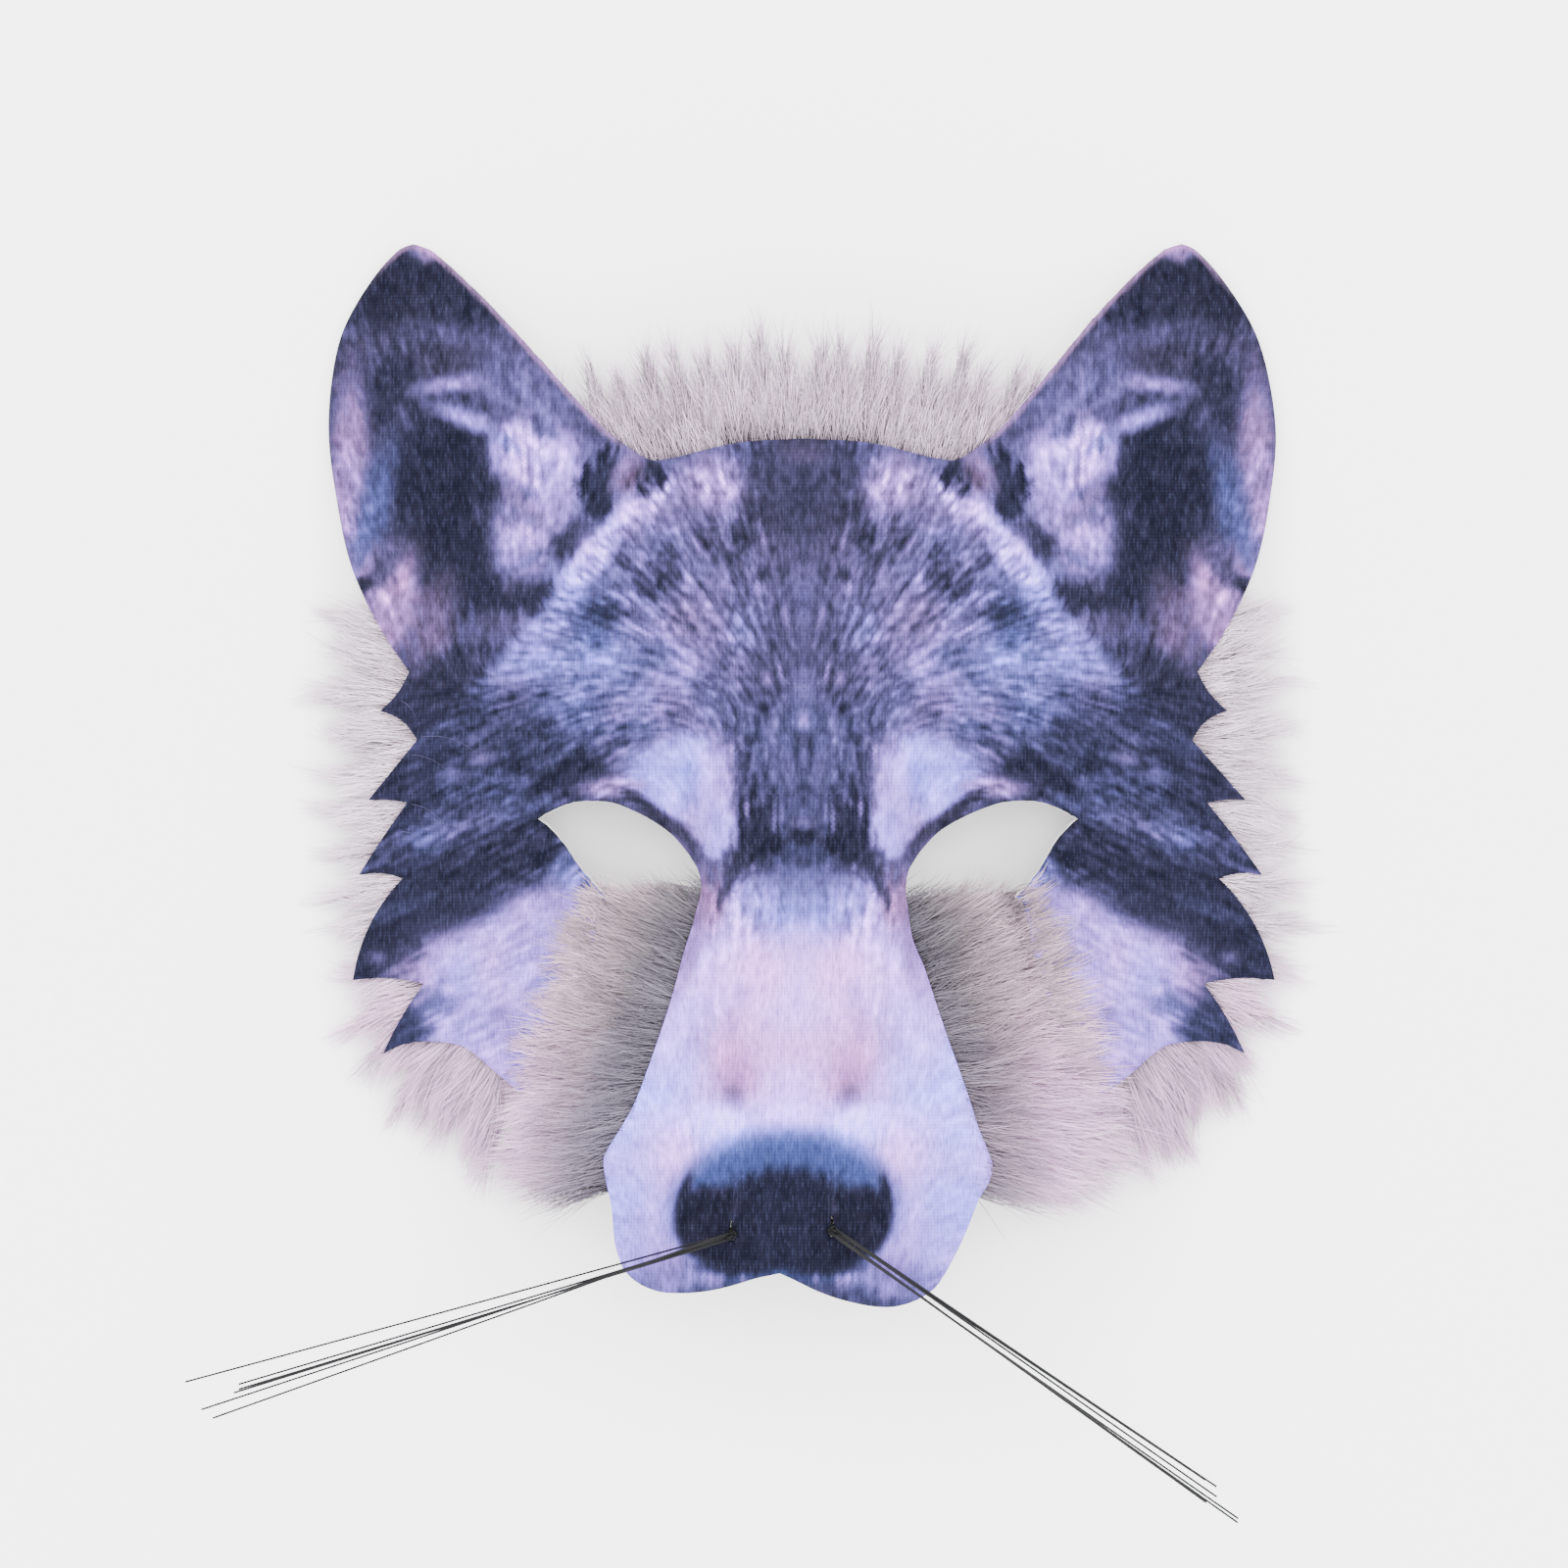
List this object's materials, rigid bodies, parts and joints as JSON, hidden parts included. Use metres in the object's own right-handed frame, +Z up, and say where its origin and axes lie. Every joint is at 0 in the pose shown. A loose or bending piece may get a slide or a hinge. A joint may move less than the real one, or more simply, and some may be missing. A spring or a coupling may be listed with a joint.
{
  "type": "wolf half-mask",
  "caption": "Costume wolf half-mask: printed plush face sheet with ears, jagged cheeks and a raised muzzle, long grey fur behind it and stiff whiskers.",
  "frame": {"origin": "the flat underside of the cheek furs, on which the mask rests, under the middle of its outline", "axes": "+Z up out of the face, +Y towards the ears, +X towards the viewer's right"},
  "size_m": [0.2238, 0.2608, 0.0564],
  "materials": {
    "printed_plush": "short-pile printed plush, charcoal blue and lilac, on thin pale foam",
    "grey_fur": "long-pile grey faux fur",
    "cream_fur": "long-pile off-white faux fur",
    "taupe_fur": "long-pile taupe-grey faux fur",
    "whisker_strand": "thin black plastic monofilament"
  },
  "bodies": {
    "root": {"face_panel": "printed_plush", "crown_fur": "grey_fur", "cheek_fur_left": "cream_fur", "cheek_fur_right": "cream_fur", "jowl_fur_left": "taupe_fur", "jowl_fur_right": "taupe_fur", "whiskers_left": "whisker_strand", "whiskers_right": "whisker_strand"}
  },
  "joints": []
}
